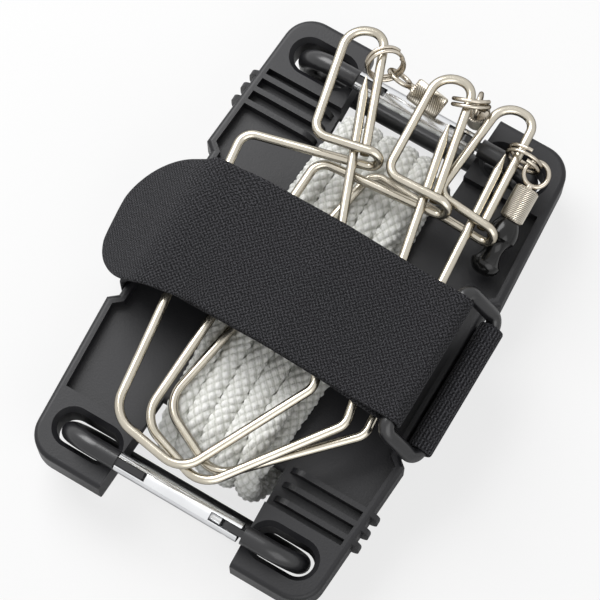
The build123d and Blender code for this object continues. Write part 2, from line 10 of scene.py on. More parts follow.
import bpy
import numpy as np
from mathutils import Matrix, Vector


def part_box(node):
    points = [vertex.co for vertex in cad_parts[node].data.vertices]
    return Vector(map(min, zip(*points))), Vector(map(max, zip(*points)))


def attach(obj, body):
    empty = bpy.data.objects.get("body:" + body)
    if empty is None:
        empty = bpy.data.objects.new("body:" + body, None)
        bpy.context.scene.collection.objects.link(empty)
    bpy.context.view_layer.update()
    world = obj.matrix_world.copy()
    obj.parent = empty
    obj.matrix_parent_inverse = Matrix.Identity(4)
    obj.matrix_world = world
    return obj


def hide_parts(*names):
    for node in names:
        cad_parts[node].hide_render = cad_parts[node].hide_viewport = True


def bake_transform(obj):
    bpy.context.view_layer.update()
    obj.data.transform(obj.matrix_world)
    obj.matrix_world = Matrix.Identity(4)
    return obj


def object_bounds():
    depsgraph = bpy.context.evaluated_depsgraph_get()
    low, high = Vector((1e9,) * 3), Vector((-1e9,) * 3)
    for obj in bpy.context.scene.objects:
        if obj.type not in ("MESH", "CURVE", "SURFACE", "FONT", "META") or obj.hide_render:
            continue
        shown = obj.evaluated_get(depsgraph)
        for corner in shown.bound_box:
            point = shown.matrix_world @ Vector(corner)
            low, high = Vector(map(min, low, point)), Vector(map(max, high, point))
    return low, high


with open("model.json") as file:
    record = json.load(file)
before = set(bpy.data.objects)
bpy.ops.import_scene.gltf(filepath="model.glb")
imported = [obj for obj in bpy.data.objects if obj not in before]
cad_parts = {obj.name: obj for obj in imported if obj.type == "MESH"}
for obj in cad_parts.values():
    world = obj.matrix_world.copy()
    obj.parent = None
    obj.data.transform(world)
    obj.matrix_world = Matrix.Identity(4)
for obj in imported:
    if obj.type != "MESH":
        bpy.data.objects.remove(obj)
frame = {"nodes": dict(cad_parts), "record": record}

MM = 0.001
cad_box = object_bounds()
nodes = frame["nodes"]

# %% [markdown]
# The camera looks down from the side of the lower carabiner, with a long lens, as a catalogue
# picture is taken. Its place is worked out from two angles, a distance and the point it looks at.

# %% Camera
VIEW_AZIMUTH = math.radians(30.732)
VIEW_ELEVATION = math.radians(73.141)
VIEW_DISTANCE = 846.8 * MM
LENS_MM = 160.66
SENSOR_MM = 36.0
NEAREST = 10.0 * MM
VIEW_TARGET = np.array([-1.17, -0.54, 23.45]) * MM

away = np.array([
    math.sin(VIEW_AZIMUTH) * math.cos(VIEW_ELEVATION),
    -math.cos(VIEW_AZIMUTH) * math.cos(VIEW_ELEVATION),
    math.sin(VIEW_ELEVATION),
])
lens = bpy.data.cameras.new("catalogue_lens")
lens.lens = LENS_MM
lens.sensor_width = SENSOR_MM
lens.clip_start = NEAREST
camera = bpy.data.objects.new("catalogue_camera", lens)
camera.location = VIEW_TARGET + away * VIEW_DISTANCE
camera.rotation_euler = (math.pi / 2 - VIEW_ELEVATION, 0.0, VIEW_AZIMUTH)
bpy.context.scene.collection.objects.link(camera)
bpy.context.scene.camera = camera
bpy.context.scene.view_settings.view_transform = "Standard"
print("camera at", [round(value, 3) for value in camera.location])

# %% [markdown]
# A surface on a grid is the one tool that every new piece below uses: rows run along the piece and
# columns run round it or across it. Whole arrays go into the mesh at once, with a UV map in
# metres, so that a weave has the same size on every piece.

# %% A mesh from a grid of points
def grid_piece(name, points, uv, body, material):
    """A closed tube from a grid of points: a quad between each four neighbours and a face on each end.

    The last column joins the first. uv holds one (along, across) pair for each grid corner, with one
    column more than points. A piece with no body is not attached to any body.
    """
    rows, columns = points.shape[:2]
    row, column = np.meshgrid(np.arange(rows - 1), np.arange(columns), indexing="ij")
    row, column = row.ravel(), column.ravel()
    steps = ((0, 0), (0, 1), (1, 1), (1, 0))
    corners = np.stack([(row + up) * columns + (column + side) % columns for up, side in steps], axis=1)
    corner_uv = np.stack([uv[row + up, column + side] for up, side in steps], axis=1).reshape(-1, 2)
    ends = np.concatenate([np.arange(columns)[::-1], np.arange(columns) + (rows - 1) * columns])
    loops = np.concatenate([corners.ravel(), ends])
    starts = np.concatenate([np.arange(len(corners)) * 4, corners.size + np.array([0, columns])])
    totals = np.concatenate([np.full(len(corners), 4), [columns, columns]])
    corner_uv = np.concatenate([corner_uv, np.zeros((2 * columns, 2))])
    mesh = bpy.data.meshes.new(name)
    mesh.vertices.add(rows * columns)
    mesh.vertices.foreach_set("co", points.astype(np.float32).ravel())
    mesh.loops.add(len(loops))
    mesh.loops.foreach_set("vertex_index", loops.astype(np.int32))
    mesh.polygons.add(len(starts))
    mesh.polygons.foreach_set("loop_start", starts.astype(np.int32))
    mesh.polygons.foreach_set("loop_total", totals.astype(np.int32))
    mesh.update(calc_edges=True)
    mesh.uv_layers.new(name="along_across").data.foreach_set("uv", corner_uv.astype(np.float32).ravel())
    mesh.shade_smooth()
    mesh.materials.append(material)
    piece = bpy.data.objects.new(name, mesh)
    bpy.context.scene.collection.objects.link(piece)
    if body is not None:
        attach(piece, body)
    print(name, "faces", len(starts))
    return piece


def unit(vectors):
    """Each vector divided by its own length."""
    return vectors / np.linalg.norm(vectors, axis=-1, keepdims=True)


def distance_along(line):
    """Each point's distance from the start of its line: the lengths of the steps before it, added up."""
    return np.concatenate([[0.0], np.cumsum(np.linalg.norm(np.diff(line, axis=0), axis=1))])


def evenly(line, step):
    """The line again with points a step apart, and the distance of each along it."""
    along = distance_along(line)
    places = np.linspace(0.0, along[-1], max(3, int(along[-1] / step)))
    return np.stack([np.interp(places, along, line[:, axis]) for axis in range(3)], axis=1), places


# %% [markdown]
# Shared finishes are node groups. One makes the fine grain of moulded plastic and coated metal from
# noise on the Object coordinates. One makes a weave from two crossing waves and noise on the UV map.
# Each puts out a height for bump and a mask for colour, and every material sets its own sizes.

# %% Grain and weave groups
WEAVE_HEIGHT, FUZZ_HEIGHT = 0.33, 2.0
WEAVE_TINT, FUZZ_TINT, YARN_TINT = 0.4, 3.0, 0.3


def new_group(name, inputs, outputs):
    """An empty shader group with float inputs (name, default) and named float outputs."""
    group = bpy.data.node_groups.new(name, "ShaderNodeTree")
    for socket_name, value in inputs:
        socket = group.interface.new_socket(socket_name, in_out="INPUT", socket_type="NodeSocketFloat")
        socket.default_value = value
    for socket_name in outputs:
        group.interface.new_socket(socket_name, in_out="OUTPUT", socket_type="NodeSocketFloat")
    return group, group.nodes.new("NodeGroupInput"), group.nodes.new("NodeGroupOutput")


def math_node(tree, operation, first, second=None):
    """A Math node: each operand is a socket to link or a number to set."""
    node = tree.nodes.new("ShaderNodeMath")
    node.operation = operation
    for index, value in enumerate((first, second)):
        if isinstance(value, (int, float)):
            node.inputs[index].default_value = value
        elif value is not None:
            tree.links.new(value, node.inputs[index])
    return node.outputs[0]


def weighted(tree, first, share, second, other_share):
    """Two values, each times its own share, added together."""
    first_part = math_node(tree, "MULTIPLY", first, share)
    second_part = math_node(tree, "MULTIPLY", second, other_share)
    return math_node(tree, "ADD", first_part, second_part)


def clamped(tree, value):
    """The value, held between 0 and 1."""
    return math_node(tree, "MAXIMUM", math_node(tree, "MINIMUM", value, 1.0), 0.0)


def uv_distances(group):
    """The UV map itself, and its two distances in metres: along the piece and across it."""
    place = group.nodes.new("ShaderNodeUVMap")
    place.uv_map = "along_across"
    split = group.nodes.new("ShaderNodeSeparateXYZ")
    group.links.new(place.outputs["UV"], split.inputs[0])
    return place.outputs["UV"], split.outputs["X"], split.outputs["Y"]


def make_grain_group():
    """Noise at two sizes: a fine grain for bump and a broad, soft variation for roughness."""
    sizes = [("Fine", 900.0), ("Broad", 45.0)]
    group, incoming, outgoing = new_group("moulded_grain", sizes, ["Height", "Variation"])
    place = group.nodes.new("ShaderNodeTexCoord")
    for scale_name, output_name, detail in (("Fine", "Height", 3.0), ("Broad", "Variation", 2.0)):
        noise = group.nodes.new("ShaderNodeTexNoise")
        noise.inputs["Detail"].default_value = detail
        group.links.new(place.outputs["Object"], noise.inputs["Vector"])
        group.links.new(incoming.outputs[scale_name], noise.inputs["Scale"])
        group.links.new(noise.outputs["Fac"], outgoing.inputs[output_name])
    return group


def make_weave_group():
    """Two waves that cross on the UV map, noise for the yarn, and ribs across the tape where they are set."""
    sizes = [("Along", 620.0), ("Across", 620.0), ("Fuzz", 1.0), ("Grain", 1300.0), ("Ribs", 0.0)]
    group, incoming, outgoing = new_group("woven_yarn", sizes, ["Height", "Mask"])
    uv, distance, offset = uv_distances(group)
    along = math_node(group, "MULTIPLY", distance, incoming.outputs["Along"])
    across = math_node(group, "MULTIPLY", offset, incoming.outputs["Across"])
    warp = math_node(group, "SINE", math_node(group, "MULTIPLY", across, 2 * math.pi))
    pick = math_node(group, "SINE", math_node(group, "MULTIPLY", along, 2 * math.pi))
    woven = weighted(group, pick, warp, pick, incoming.outputs["Ribs"])
    noise = group.nodes.new("ShaderNodeTexNoise")
    noise.inputs["Detail"].default_value = 3.0
    group.links.new(uv, noise.inputs["Vector"])
    group.links.new(incoming.outputs["Grain"], noise.inputs["Scale"])
    fuzz = math_node(group, "SUBTRACT", noise.outputs["Fac"], 0.5)
    fuzz = math_node(group, "MULTIPLY", fuzz, incoming.outputs["Fuzz"])
    group.links.new(weighted(group, woven, WEAVE_HEIGHT, fuzz, FUZZ_HEIGHT), outgoing.inputs["Height"])
    speckle = math_node(group, "ADD", weighted(group, woven, WEAVE_TINT, fuzz, FUZZ_TINT), YARN_TINT)
    group.links.new(clamped(group, speckle), outgoing.inputs["Mask"])
    return group


grain_group = make_grain_group()
weave_group = make_weave_group()
print("groups", grain_group.name, weave_group.name)

# %% [markdown]
# One recipe makes every finish on the stringer: a pattern drives the colour, the roughness and a fine
# bump together, because on a real surface they change together. On the rope's valleys and the
# barrels' grooves the darker colour is painted shade. Plated wire also darkens at its edges, and that
# is the shader's own specular tint, set as one plain colour.

# %% A material with a pattern group
def patterned(name, group, settings, dark, light, mask, height, rough, bump, **plain):
    """A Principled material: the mask takes its colour from dark to light and its roughness over a range.

    bump is (strength, depth in metres) of the group's height. plain sets other shader sockets to one value.
    """
    material = bpy.data.materials.new(name)
    material.use_nodes = True
    tree = material.node_tree
    shader = tree.nodes["Principled BSDF"]
    pattern = tree.nodes.new("ShaderNodeGroup")
    pattern.node_tree = group
    for socket_name, value in settings.items():
        pattern.inputs[socket_name].default_value = value
    colour = tree.nodes.new("ShaderNodeMix")
    colour.data_type = "RGBA"
    colour.inputs["A"].default_value = (*dark, 1.0)
    colour.inputs["B"].default_value = (*light, 1.0)
    tree.links.new(pattern.outputs[mask], colour.inputs["Factor"])
    tree.links.new(colour.outputs["Result"], shader.inputs["Base Color"])
    spread = tree.nodes.new("ShaderNodeMapRange")
    spread.inputs["To Min"].default_value = rough[0]
    spread.inputs["To Max"].default_value = rough[1]
    tree.links.new(pattern.outputs[mask], spread.inputs["Value"])
    tree.links.new(spread.outputs["Result"], shader.inputs["Roughness"])
    raised = tree.nodes.new("ShaderNodeBump")
    raised.inputs["Strength"].default_value = bump[0]
    raised.inputs["Distance"].default_value = bump[1]
    tree.links.new(pattern.outputs[height], raised.inputs["Height"])
    tree.links.new(raised.outputs["Normal"], shader.inputs["Normal"])
    for socket_name, value in plain.items():
        shader.inputs[socket_name.replace("_", " ").title().replace("Ior", "IOR")].default_value = value
    return material


# %% [markdown]
# Black is never one black: the plate is a grey-black moulding with a fine grain, the carabiners and the
# strap ring have a smoother satin coat, and the stopper is shiny rubber. The wire is nickel, a warm
# metal, and the gates are cold bright aluminium. Each is the same recipe with its own numbers.

# %% Rigid finishes
GRAIN = ("Variation", "Height")
plate_finish = patterned(
    "plate_moulding", grain_group, {"Fine": 1500.0, "Broad": 38.0},
    (0.005, 0.005, 0.0062), (0.013, 0.013, 0.0155),
    *GRAIN, (0.36, 0.54), (0.35, 0.00012), specular_ior_level=0.4,
)
coat_finish = patterned(
    "satin_black_coat", grain_group, {"Fine": 1100.0, "Broad": 60.0},
    (0.008, 0.008, 0.009), (0.016, 0.016, 0.018),
    *GRAIN, (0.24, 0.40), (0.12, 0.00006), coat_weight=0.25, coat_roughness=0.2,
)
rubber_finish = patterned(
    "shiny_rubber", grain_group, {"Fine": 700.0, "Broad": 80.0}, (0.004, 0.004, 0.004), (0.010, 0.010, 0.010),
    *GRAIN, (0.10, 0.22), (0.08, 0.00005), specular_ior_level=0.35,
)
nickel_finish = patterned(
    "warm_nickel", grain_group, {"Fine": 1300.0, "Broad": 120.0}, (0.46, 0.42, 0.34), (0.63, 0.59, 0.51),
    *GRAIN, (0.15, 0.30), (0.06, 0.00004), metallic=1.0, specular_tint=(0.04, 0.03, 0.02, 1.0),
)
bright_nickel_finish = patterned(
    "bright_nickel", grain_group, {"Fine": 1500.0, "Broad": 160.0}, (0.44, 0.39, 0.32), (0.63, 0.58, 0.50),
    *GRAIN, (0.14, 0.28), (0.05, 0.00003), metallic=1.0, specular_tint=(0.05, 0.04, 0.03, 1.0),
)
gate_finish = patterned(
    "rolled_aluminium", grain_group, {"Fine": 1700.0, "Broad": 90.0}, (0.74, 0.75, 0.77), (0.90, 0.91, 0.92),
    *GRAIN, (0.14, 0.30), (0.06, 0.00003), metallic=1.0, specular_tint=(0.10, 0.10, 0.11, 1.0),
)
steel_finish = patterned(
    "plain_steel", grain_group, {"Fine": 1700.0, "Broad": 90.0}, (0.50, 0.50, 0.50), (0.68, 0.68, 0.68),
    *GRAIN, (0.25, 0.4), (0.06, 0.00003), metallic=1.0,
)
finish_of_slot = {
    "plate_plastic": plate_finish,
    "clip_wire": nickel_finish,
    "ring_wire": bright_nickel_finish,
    "barrel_metal": bright_nickel_finish,
    "stopper_rubber": rubber_finish,
    "carabiner_coat": coat_finish,
    "gate_metal": gate_finish,
    "spring_steel": steel_finish,
    "ring_coat": coat_finish,
}
finished = 0
for entry in frame["record"]["subparts"]:
    finish = finish_of_slot.get(entry["material_slot"])
    if finish is not None:
        mesh = nodes[entry["node"]].data
        mesh.materials.clear()
        mesh.materials.append(finish)
        finished += 1
print("finished CAD nodes", finished)

# %% [markdown]
# The rope is one length of braided cord, wound lengthways round the plate's web in two layers. Its route
# is a quadratic spline. Each half turn has the corners of a polygon drawn round its circle, so the curve
# touches the circle, and each long run bows outwards, because soft turns spread at their middle.

# %% Rope route
ROPE_TURNS = 6
ROPE_PITCH = 6.75 * MM
ROPE_CLIMB_SHIFT = 0.35 * MM
PLATE_MIDDLE_Z = 16.95 * MM
INNER_TURN = 5.55 * MM
OUTER_TURN = 12.15 * MM
TURN_Y = 47.75 * MM
ROPE_BOW = 0.16
TURN_CORNERS = 4
RUN_STATIONS = np.array([-0.5, 0.0, 0.5])
NEAR_ZERO = 1e-9
SPLINE_STEPS = 8
RING_STEP = 0.85 * MM


def rope_runs():
    """Each run's place across the plate and its height: out on the inner layer, back on the outer one."""
    span = (ROPE_TURNS - 0.5) * ROPE_PITCH
    runs = []
    for turn in range(ROPE_TURNS):
        across = -span / 2 + turn * ROPE_PITCH
        if turn > 0:
            runs.append((across - ROPE_PITCH / 2, -INNER_TURN))
        runs.append((across, INNER_TURN))
    runs[-1] = (runs[-1][0] + ROPE_CLIMB_SHIFT, INNER_TURN)
    runs.append((span / 2, -OUTER_TURN))
    for turn in range(1, ROPE_TURNS):
        across = span / 2 - turn * ROPE_PITCH
        runs.append((across, OUTER_TURN))
        runs.append((across - ROPE_PITCH / 2, -OUTER_TURN))
    return runs


def rope_corners():
    """The spline's corners: at stations along each run, and at a polygon's corners round each half turn."""
    runs = rope_runs()
    half_step = math.pi / TURN_CORNERS / 2
    corners = []
    heading = 1
    for index, (across, height) in enumerate(runs):
        first, last = index == 0, index == len(runs) - 1
        lead = abs(height) * math.tan(half_step)
        reach = TURN_Y - lead
        along = np.concatenate([[-reach], RUN_STATIONS * reach, [reach]]) * heading
        along = along[along * heading >= -NEAR_ZERO] if first else along
        along = along[along * heading <= NEAR_ZERO] if last else along
        bowed = across * (1 + ROPE_BOW * np.cos(along / TURN_Y * math.pi / 2) ** 2)
        corners.append(np.stack([bowed, along, np.full(len(along), PLATE_MIDDLE_Z + height)], axis=1))
        if not last:
            next_across, next_height = runs[index + 1]
            middle = (height + next_height) / 2
            radius = abs(height - next_height) / 2
            turned = (np.arange(TURN_CORNERS) + 0.5) * math.pi / TURN_CORNERS
            outer = radius / math.cos(half_step)
            side = np.sign(height - next_height)
            corners.append(np.stack([
                across + (next_across - across) * turned / math.pi,
                heading * (TURN_Y + outer * np.sin(turned)),
                PLATE_MIDDLE_Z + middle + side * outer * np.cos(turned),
            ], axis=1))
        heading = -heading
    return np.concatenate(corners)


def spline_points(name, corners, resolution):
    """The points of a quadratic spline through those corners, read back from a curve with no bevel."""
    curve = bpy.data.curves.new(name, "CURVE")
    curve.dimensions = "3D"
    spline = curve.splines.new("NURBS")
    spline.points.add(len(corners) - 1)
    spline.points.foreach_set("co", np.concatenate([corners, np.ones((len(corners), 1))], axis=1).ravel())
    spline.order_u = 3
    spline.use_endpoint_u = True
    spline.resolution_u = resolution
    holder = bpy.data.objects.new(name, curve)
    mesh = bpy.data.meshes.new_from_object(holder)
    line = np.empty(len(mesh.vertices) * 3)
    mesh.vertices.foreach_get("co", line)
    bpy.data.meshes.remove(mesh)
    bpy.data.objects.remove(holder)
    bpy.data.curves.remove(curve)
    return line.reshape(-1, 3)


rope_line, rope_along = evenly(spline_points("rope_route", rope_corners(), SPLINE_STEPS), RING_STEP)
print("rope length", round(float(rope_along[-1]), 3), "m in", len(rope_line), "rings")

# %% [markdown]
# The braid is real shape. Its plaits stand up as a lattice of diamonds, where two families of strands
# cross, and the same lattice darkens the valleys in colour, which is painted shade. A rope that is
# wound by hand twists and slips a little as it goes, so no two turns show the same lattice. It also
# swells past its solid, which is 6 mm thick: soft turns flatten against each other until they touch.

# %% Rope surface
ROPE_SIDES = 30
ROPE_PEAK = 3.75 * MM
ROPE_SPREAD = 0.12
BRAID_AROUND = 6
BRAID_LENGTH = 3.8 * MM
BRAID_DEPTH = 0.85 * MM
PLAIT_POWER = 0.7
DRAWN_THICKNESS = 7.0 * MM
ROPE_GIRTH = math.pi * DRAWN_THICKNESS
LONG_TWIST = (0.8, 37.0 * MM)
SHORT_TWIST = (0.5, 11.3 * MM)
SLIP = (0.5 * MM, 6.8 * MM)
TINT_POWER = 0.6
YARNS = 3
YARN_SHARE, FIBRE_SHARE = 0.1, 1.4
FIBRE_SCALE = 900.0


def braid_lay(along):
    """How far the braid has turned, in radians, and slipped, in metres: slow waves of (size, length)."""
    turned = LONG_TWIST[0] * np.sin(along / LONG_TWIST[1]) + SHORT_TWIST[0] * np.sin(along / SHORT_TWIST[1])
    slipped = SLIP[0] * np.sin(along / SLIP[1])
    return turned, slipped


def rope_radius(angle, along):
    """The radius: two waves that climb opposite ways, multiplied, and a swell towards the next turns."""
    turned, slipped = braid_lay(along)
    around = BRAID_AROUND * (angle + turned) / 2
    climb = np.pi * (along + slipped) / BRAID_LENGTH
    plait = np.abs(np.cos(around + climb) * np.cos(around - climb)) ** PLAIT_POWER
    return (ROPE_PEAK - BRAID_DEPTH * (1 - plait)) * (1 + ROPE_SPREAD * np.cos(angle) ** 2)


def make_braid_group():
    """The same lattice on the UV map, with fine yarn lines along each plait: a height, and a colour mask
    whose dark valleys are painted shade.
    """
    sizes = [("Along", 260.0), ("Across", 270.0)]
    group, incoming, outgoing = new_group("braid_lattice", sizes, ["Height", "Mask"])
    uv, distance, offset = uv_distances(group)
    along = math_node(group, "MULTIPLY", distance, incoming.outputs["Along"])
    across = math_node(group, "MULTIPLY", offset, incoming.outputs["Across"])
    waves = []
    for operation in ("ADD", "SUBTRACT"):
        phase = math_node(group, "MULTIPLY", math_node(group, operation, across, along), math.pi)
        waves.append(math_node(group, "ABSOLUTE", math_node(group, "COSINE", phase)))
    plait = math_node(group, "POWER", math_node(group, "MULTIPLY", waves[0], waves[1]), TINT_POWER)
    slant = math_node(group, "ADD", across, along)
    yarn = math_node(group, "SINE", math_node(group, "MULTIPLY", slant, YARNS * 2 * math.pi))
    noise = group.nodes.new("ShaderNodeTexNoise")
    noise.inputs["Scale"].default_value = FIBRE_SCALE
    group.links.new(uv, noise.inputs["Vector"])
    fuzz = math_node(group, "SUBTRACT", noise.outputs["Fac"], 0.5)
    surface = math_node(group, "ADD", plait, weighted(group, yarn, YARN_SHARE, fuzz, FIBRE_SHARE))
    group.links.new(surface, outgoing.inputs["Height"])
    group.links.new(clamped(group, surface), outgoing.inputs["Mask"])
    return group


def tube_points(line, along, sides, radius_of):
    """A tube round a line: each ring lies square to the line, its radius given for each angle and place."""
    ahead = unit(np.gradient(line, axis=0))
    across = np.array([1.0, 0.0, 0.0])
    normal = unit(across - ahead * (ahead @ across)[:, None])
    binormal = np.cross(ahead, normal)
    angle = np.arange(sides) / sides * 2 * np.pi
    radius = radius_of(angle[None, :], along[:, None])
    ring = normal[:, None] * np.cos(angle)[None, :, None] + binormal[:, None] * np.sin(angle)[None, :, None]
    return line[:, None] + ring * radius[:, :, None]


def tube_uv(along, sides, girth):
    """Distance along the tube and distance round it, in metres, at every corner of the grid."""
    around = np.arange(sides + 1) / sides * girth
    return np.stack(np.broadcast_arrays(along[:, None], around[None, :]), axis=-1)


MASK_AND_HEIGHT = ("Mask", "Height")
# The darker colour in the braid's valleys is painted shade; the yarn lines and fibre noise are the rope's own
# uneven tone.
rope_finish_painted_valley_shade = patterned(
    "braided_rope", make_braid_group(), {"Along": 1 / BRAID_LENGTH, "Across": BRAID_AROUND / ROPE_GIRTH},
    (0.62, 0.63, 0.58), (0.95, 0.95, 0.93), *MASK_AND_HEIGHT, (0.35, 0.6), (0.5, 0.0005),
)
turned, slipped = braid_lay(rope_along)
rope_uv = tube_uv(rope_along, ROPE_SIDES, ROPE_GIRTH)
rope_uv = rope_uv + np.stack([slipped, turned / (2 * math.pi) * ROPE_GIRTH], axis=-1)[:, None]
rope_points = tube_points(rope_line, rope_along, ROPE_SIDES, rope_radius)
rope = grid_piece("braided_rope", rope_points, rope_uv, "packed_frame", rope_finish_painted_valley_shade)
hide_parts("rope_winding")

# %% [markdown]
# The strap is one woven tape. It is sewn round the ring's outer bar, runs under the plate, over the
# clips, round the ring's inner bar and back over itself to a free rounded end. Its route is a run of
# straight stretches joined by arcs, in the XZ plane, with the tape's width along Y.

# %% Strap route
STRAP_WIDTH = 46.0 * MM
STRAP_THICKNESS = 1.5 * MM
STRAP_MIDDLE_Y = -2.0 * MM


def rounded_route(corners, radii, step):
    """Straight stretches joined by arcs of the given radii, as points in XZ about a step apart."""
    corners = np.array(corners, float)
    pieces = [corners[:1]]
    for before, corner, after, radius in zip(corners[:-2], corners[1:-1], corners[2:], radii):
        come, go = unit(corner - before), unit(after - corner)
        turn = math.acos(float(np.clip(come @ go, -1.0, 1.0)))
        start = corner - come * radius * math.tan(turn / 2)
        side = np.array([-come[1], come[0]]) * np.sign(come[0] * go[1] - come[1] * go[0])
        swing = np.linspace(0.0, turn, max(2, int(radius * turn / step) + 2))[:, None]
        pieces.append(start + radius * (come * np.sin(swing) + side * (1 - np.cos(swing))))
    pieces.append(corners[-1:])
    flat = np.concatenate(pieces)
    line = np.stack([flat[:, 0], np.full(len(flat), STRAP_MIDDLE_Y), flat[:, 1]], axis=1)
    return evenly(line, step)


BAND_CORNERS = [
    (52.645, 12.2), (52.645, 31.9), (59.545, 31.9), (59.545, 27.2), (54.145, 20.4), (54.145, 8.45),
    (40.0, 0.75), (-40.0, 0.75), (-52.645, 8.45), (-52.645, 25.45), (-43.5, 45.737), (2.0, 48.0),
    (24.0, 44.75), (38.5, 38.813), (44.5, 38.813),
]
BAND_RADII = [3.45, 3.45, 3.4, 6.0, 4.0, 6.0, 6.0, 4.0, 6.0, 6.0, 30.0, 30.0, 3.0]
TAIL_CORNERS = [
    (44.5, 38.813), (47.95, 38.813), (47.95, 45.713), (30.0, 46.25), (2.0, 49.8), (-24.0, 49.107),
    (-43.5, 48.137), (-66.0, 22.137),
]
TAIL_RADII = [3.35, 3.35, 8.0, 30.0, 30.0, 14.0]
TAIL_CORNER = 18.0 * MM
TAIL_SKEW = math.radians(8.0)
TAIL_SKEW_RADIUS = 60.0 * MM
HINGE_X = -24.0 * MM
BAND_STEP = 0.8 * MM
TAIL_STEP = 0.4 * MM
band_line, band_along = rounded_route(np.array(BAND_CORNERS) * MM, np.array(BAND_RADII) * MM, BAND_STEP)
tail_line, tail_along = rounded_route(np.array(TAIL_CORNERS) * MM, np.array(TAIL_RADII) * MM, TAIL_STEP)
print("band", round(float(band_along[-1]), 4), "m, tail", round(float(tail_along[-1]), 4), "m")

# %% [markdown]
# A woven tape is a flat profile carried along its route. The profile is a thin rectangle with round
# edges, as a selvedge is. Near the free end it narrows, so that in plan the two corners are round.
# Where the tape is folded and sewn round the ring's bar, it is bent tightly and its ribs open up.

# %% Strap surface
FLAT_POINTS = 26
EDGE_POINTS = 5
FOLD_LENGTH = 38.0 * MM


def strap_points(line, along, width, thickness, corner=0.0):
    """A tape along a line: a flat profile with round edges, its width along Y, narrowed to a rounded tip.

    corner is the radius, seen in plan, of the two corners at the far end; 0 leaves that end square.
    """
    ahead = unit(np.gradient(line, axis=0))
    sideways = np.array([0.0, 1.0, 0.0])
    outward = np.cross(ahead, sideways)
    edge = np.linspace(-np.pi / 2, np.pi / 2, EDGE_POINTS)
    flat = np.linspace(-1.0, 1.0, FLAT_POINTS)[1:-1]
    share = np.concatenate([np.ones(EDGE_POINTS), -flat, -np.ones(EDGE_POINTS), flat])
    bulge = np.concatenate([np.cos(edge), 0 * flat, -np.cos(edge), 0 * flat])
    lift = np.concatenate([np.sin(edge), 0 * flat + 1, -np.sin(edge), 0 * flat - 1])
    in_plan = distance_along(line[:, :2])
    to_tip = np.minimum(in_plan[-1] - in_plan, corner)
    half = width / 2 - corner + np.sqrt(np.maximum(corner**2 - (corner - to_tip) ** 2, 0.0))
    across = share[None, :] * (half[:, None] - thickness / 2) + bulge[None, :] * thickness / 2
    raised = np.broadcast_to(lift * thickness / 2, across.shape)
    points = line[:, None] + sideways * across[:, :, None] + outward[:, None] * raised[:, :, None]
    closing = np.concatenate([across, across[:, :1]], axis=1)
    return points, np.stack(np.broadcast_arrays(along[:, None], closing), axis=-1)


def skewed(points, line):
    """The tape veers in plan past the hinge: rows turn on an arc and keep the height of the route."""
    past = np.maximum(HINGE_X - line[:, 0], 0.0)
    turn = np.arcsin(np.minimum(past / TAIL_SKEW_RADIUS, math.sin(TAIL_SKEW)))
    straight = np.maximum(past - TAIL_SKEW_RADIUS * math.sin(TAIL_SKEW), 0.0)
    drift = TAIL_SKEW_RADIUS * (1 - np.cos(turn)) + straight * math.tan(TAIL_SKEW)
    offset = points[..., 1] - STRAP_MIDDLE_Y
    moved = points.copy()
    moved[..., 0] -= offset * np.sin(turn)[:, None]
    moved[..., 1] = STRAP_MIDDLE_Y - drift[:, None] + offset * np.cos(turn)[:, None]
    free = line[np.argmax(line[:, 0] < HINGE_X):]
    height = np.interp(-moved[..., 0], -free[:, 0], free[:, 2])
    height -= np.interp(-points[..., 0], -free[:, 0], free[:, 2])
    slope = np.gradient(line[:, 2], line[:, 0])
    past_end = np.minimum(moved[..., 0] - line[-1, 0], 0.0)
    moved[..., 2] += np.where(past[:, None] > 0, height + past_end * slope[-1], 0.0)
    return moved


TAPE_ROUGHNESS = (0.85, 0.95)
TAPE_BUMP = (0.9, 0.0004)
strap_finish = patterned(
    "woven_strap", weave_group, {"Along": 700.0, "Across": 700.0, "Fuzz": 1.3, "Grain": 2400.0},
    (0.003, 0.003, 0.004), (0.095, 0.095, 0.103), *MASK_AND_HEIGHT, TAPE_ROUGHNESS, TAPE_BUMP, specular_ior_level=0.2,
)
fold_finish = patterned(
    "ribbed_fold", weave_group, {"Along": 950.0, "Fuzz": 1.0, "Grain": 1900.0, "Ribs": 1.0},
    (0.003, 0.003, 0.004), (0.10, 0.10, 0.11), *MASK_AND_HEIGHT, TAPE_ROUGHNESS, TAPE_BUMP, specular_ior_level=0.2,
)
LAYER_RELIEF = 0.1 * MM
VISUAL_THICKNESS = STRAP_THICKNESS - LAYER_RELIEF
band_points, band_uv = strap_points(band_line, band_along, STRAP_WIDTH, VISUAL_THICKNESS)
band = grid_piece("strap_loop", band_points, band_uv, "packed_frame", strap_finish)
folded_faces = np.count_nonzero(band_along < FOLD_LENGTH) * band_points.shape[1]
is_folded = np.arange(len(band.data.polygons)) < folded_faces
band.data.materials.append(fold_finish)
band.data.polygons.foreach_set("material_index", is_folded.astype(np.int32))
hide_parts("strap_band", "strap_fold")
tail_points, tail_uv = strap_points(tail_line, tail_along, STRAP_WIDTH, VISUAL_THICKNESS, TAIL_CORNER)
tail = grid_piece("strap_free_end", skewed(tail_points, tail_line), tail_uv, None, strap_finish)
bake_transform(tail)
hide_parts("strap_tab")

# %% [markdown]
# The hook pad under the free end is what holds the strap closed. Its hooks are far too small to draw
# one by one, so the pad is a thin tape with a coarse, bristly weave.

